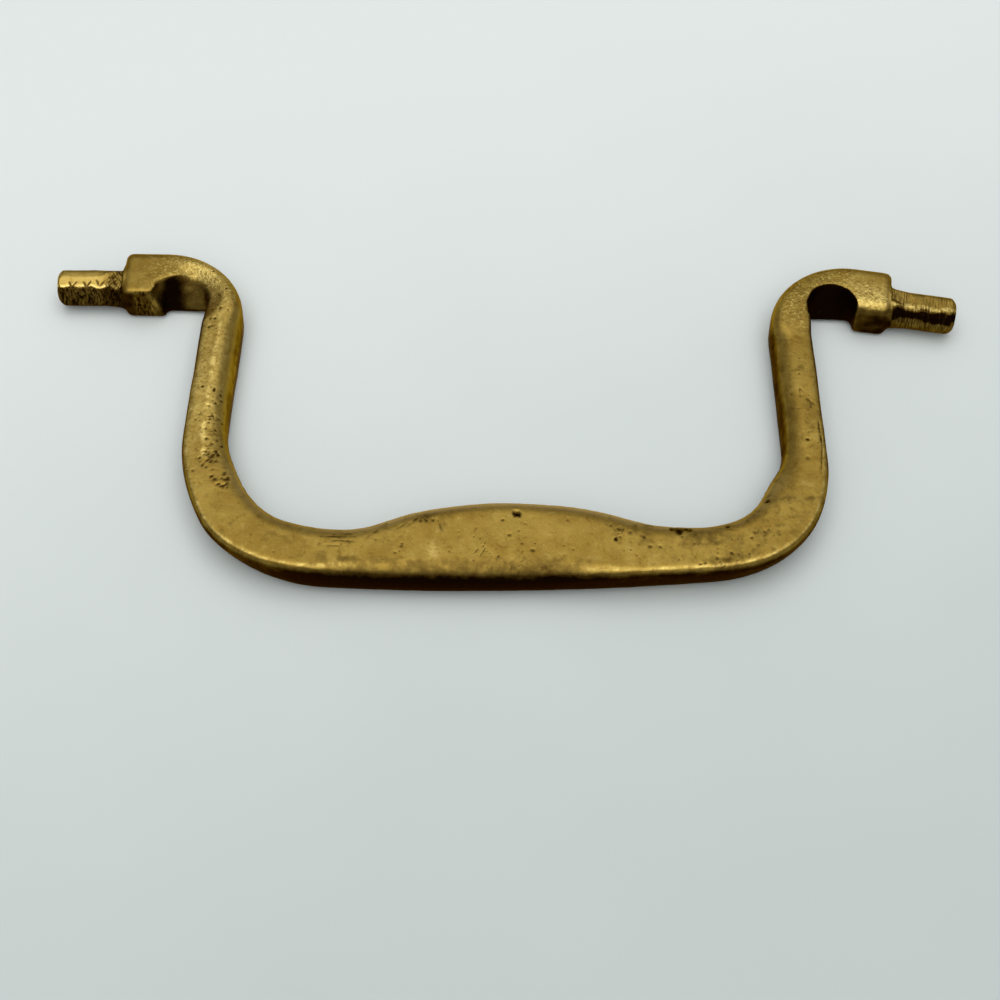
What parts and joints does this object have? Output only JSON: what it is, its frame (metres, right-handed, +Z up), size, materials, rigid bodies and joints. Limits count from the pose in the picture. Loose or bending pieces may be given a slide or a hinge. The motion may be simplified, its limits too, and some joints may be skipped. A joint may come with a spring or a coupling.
{
  "type": "drawer pull bail",
  "caption": "Swan-neck bail of a drawer pull: a bent brass bar with a swelled grip and an outward pin at each end that turns in a post.",
  "frame": {"origin": "middle of the footprint of the bail as it lies on its back, at the surface it lies on", "axes": "+X along the pins, to the right as seen from the grip; +Y from the grip towards the pins; +Z up out of the front face"},
  "size_m": [0.1098, 0.047, 0.0052],
  "materials": {
    "brass": "worn satin brass with dark patina in its hollows"
  },
  "bodies": {
    "root": {"bail": "brass"}
  },
  "joints": []
}
